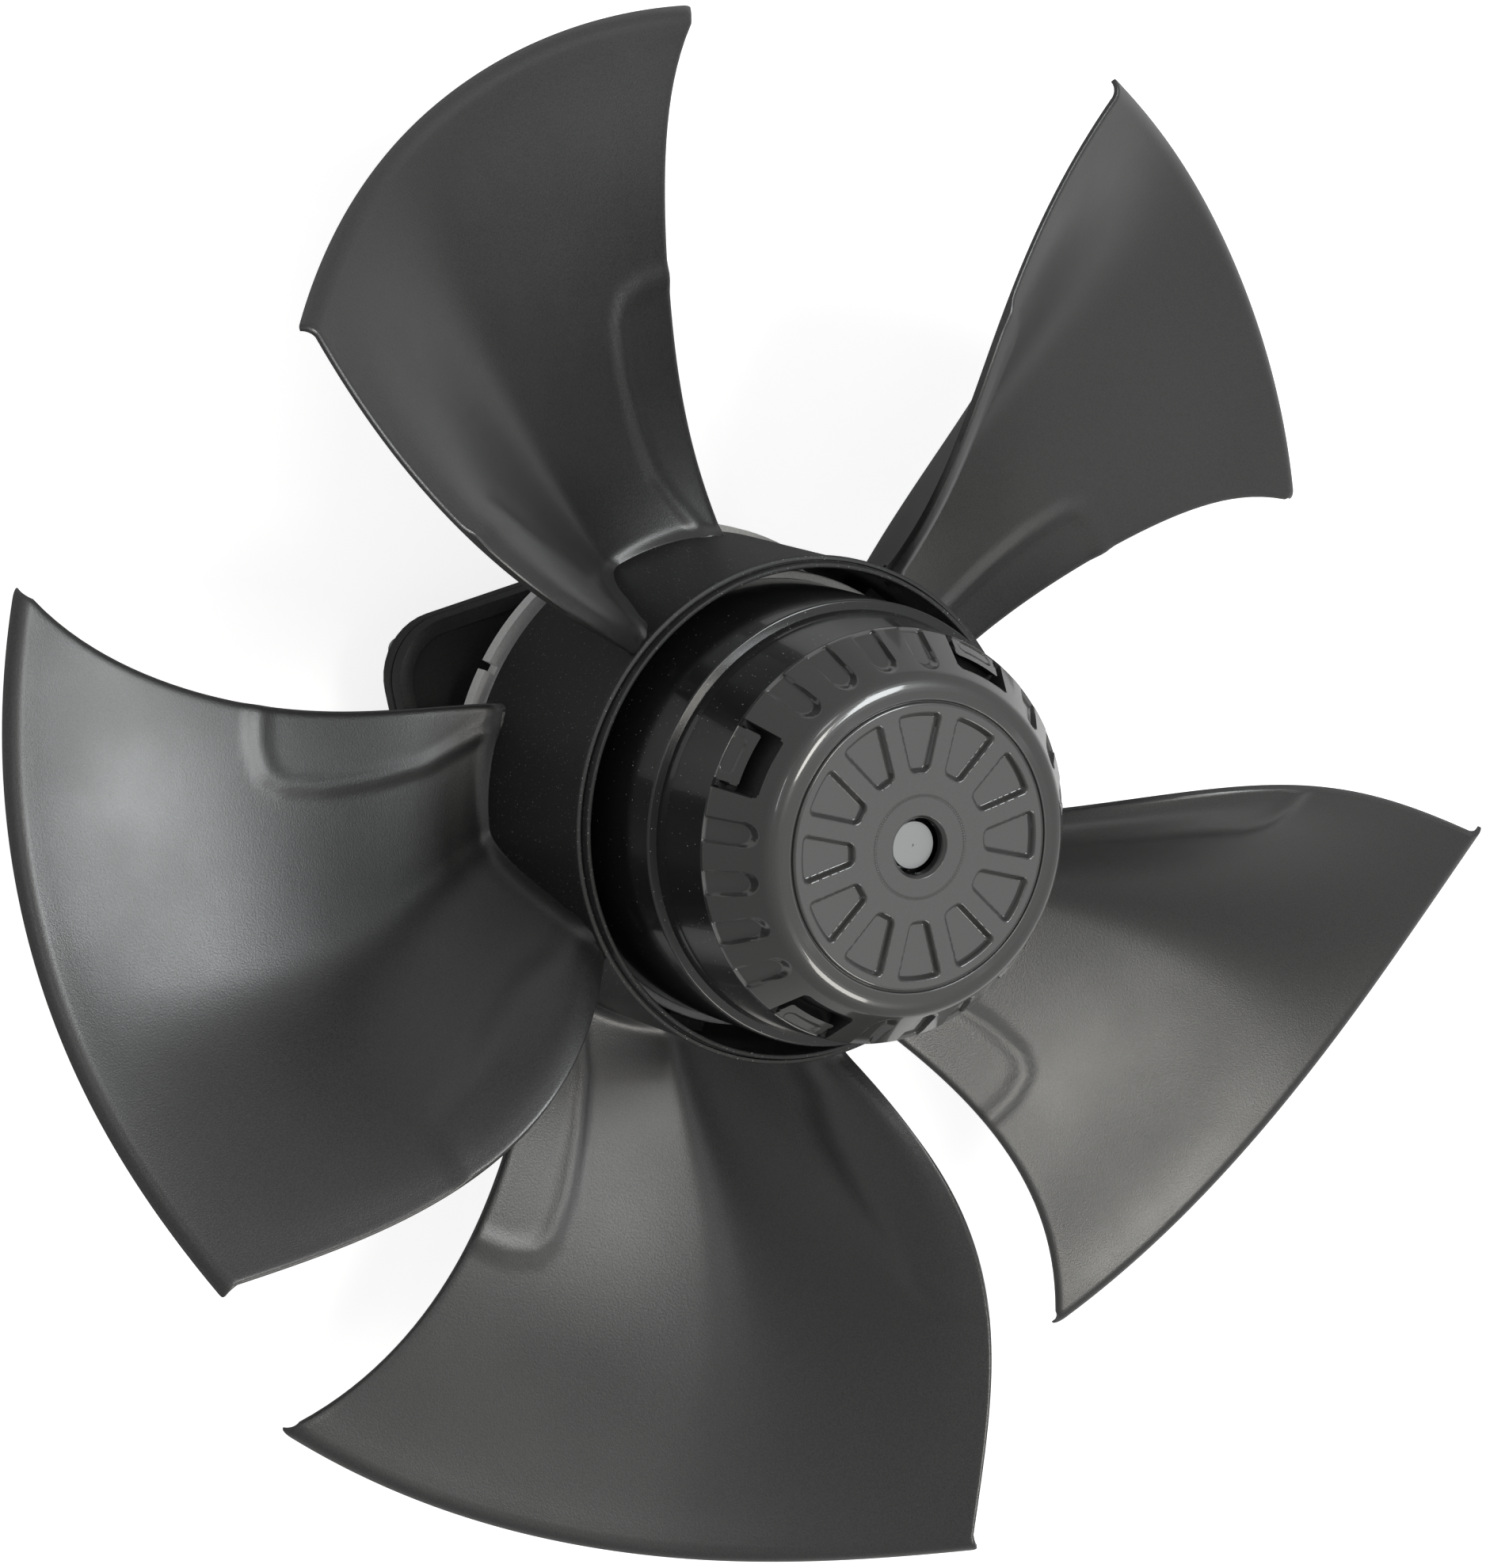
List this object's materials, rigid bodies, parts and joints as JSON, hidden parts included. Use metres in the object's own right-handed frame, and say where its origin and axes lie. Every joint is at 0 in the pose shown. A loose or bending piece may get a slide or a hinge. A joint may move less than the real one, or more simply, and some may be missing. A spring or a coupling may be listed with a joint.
{
  "type": "axial fan with external-rotor motor",
  "caption": "Axial fan: black impeller with sickle blades on an external-rotor motor, with a stator flange and a terminal box behind it.",
  "frame": {"origin": "centre of the stator flange's rear mounting face, on the shaft's axis", "axes": "+Z along the shaft towards the rotor cap; -Y towards the cable gland of the terminal box"},
  "size_m": [0.5001, 0.4989, 0.2023],
  "materials": {
    "blade_plastic": "satin, fine moulded grain",
    "cast_aluminium": "as cast, fine grain",
    "rotor_paint": "gloss black enamel",
    "cap_plastic": "satin grey",
    "lamination_steel": "varnished edges",
    "shaft_steel": "ground",
    "bearing_steel": "polished",
    "winding_copper": "varnished copper wire",
    "box_plastic": "matt black",
    "gasket_rubber": "matt",
    "screw_steel": "zinc plated",
    "gland_plastic": "satin",
    "strip_plastic": "satin",
    "earth_brass": "plain"
  },
  "bodies": {
    "stator": {"stator_flange": "cast_aluminium", "shaft_bearings": "bearing_steel", "stator_core": "lamination_steel", "stator_winding": "winding_copper", "terminal_box_base": "box_plastic", "cover_gasket": "gasket_rubber", "terminal_box_cover": "box_plastic", "cover_screws": "screw_steel", "gland_body": "gland_plastic", "gland_nut": "gland_plastic", "gland_locknut": "gland_plastic", "terminal_strip": "strip_plastic", "earth_terminal": "earth_brass", "earth_screw": "screw_steel"},
    "rotor": {"impeller": "blade_plastic", "hub_carrier": "cast_aluminium", "rotor_can": "rotor_paint", "rotor_cap": "cap_plastic", "rotor_core": "lamination_steel", "shaft": "shaft_steel"}
  },
  "joints": [
    {"name": "rotor_spin", "type": "hinge", "parent": "stator", "child": "rotor", "pos_m": [0, 0, 0.06], "axis": [0, 0, 1], "continuous": true}
  ]
}
